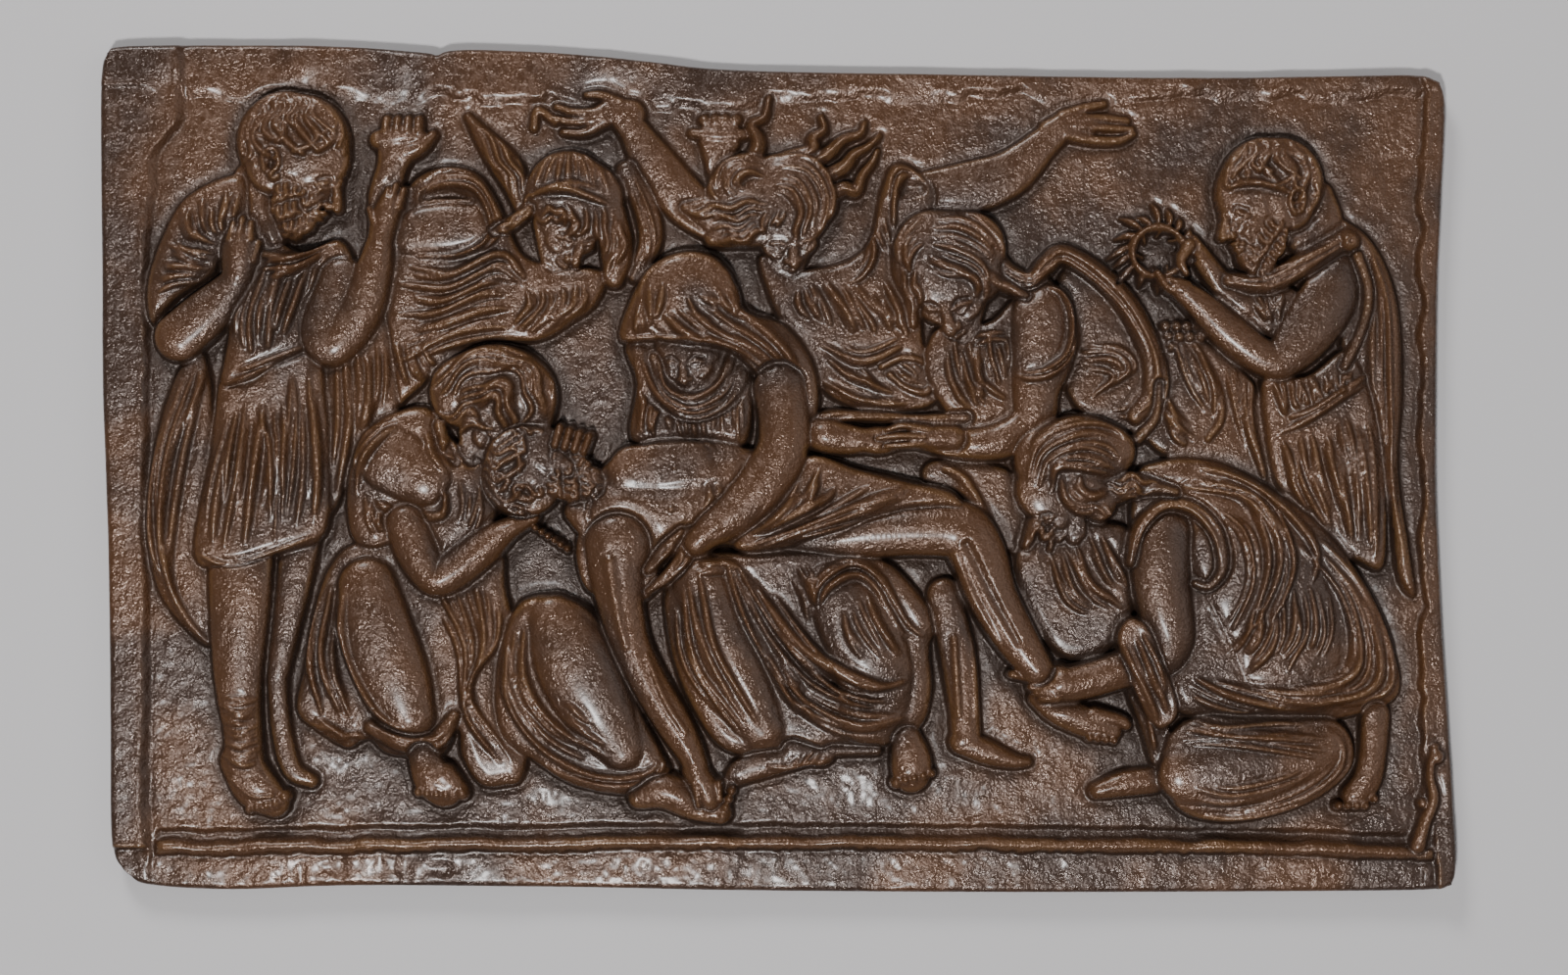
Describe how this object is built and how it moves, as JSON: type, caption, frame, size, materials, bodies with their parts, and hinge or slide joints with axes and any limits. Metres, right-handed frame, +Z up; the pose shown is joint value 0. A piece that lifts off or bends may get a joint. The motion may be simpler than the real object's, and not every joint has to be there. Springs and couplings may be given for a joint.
{
  "type": "relief plaque",
  "caption": "Cast bronze wall plaque with a crowded figure scene in relief, an uneven outline and a rounded roll along its foot; flat back.",
  "frame": {"origin": "on the flat back, at the middle of the plaque's width and height as it hangs: the place where the wall mount holds it", "axes": "+X to the viewer's right along the plaque, +Y out of the back into the wall, so the relief faces -Y, +Z up"},
  "size_m": [0.3199, 0.0156, 0.2002],
  "materials": {
    "bronze": "cast bronze with a dark brown patina, rubbed brighter on the raised forms"
  },
  "bodies": {
    "root": {"plaque": "bronze"}
  },
  "joints": []
}
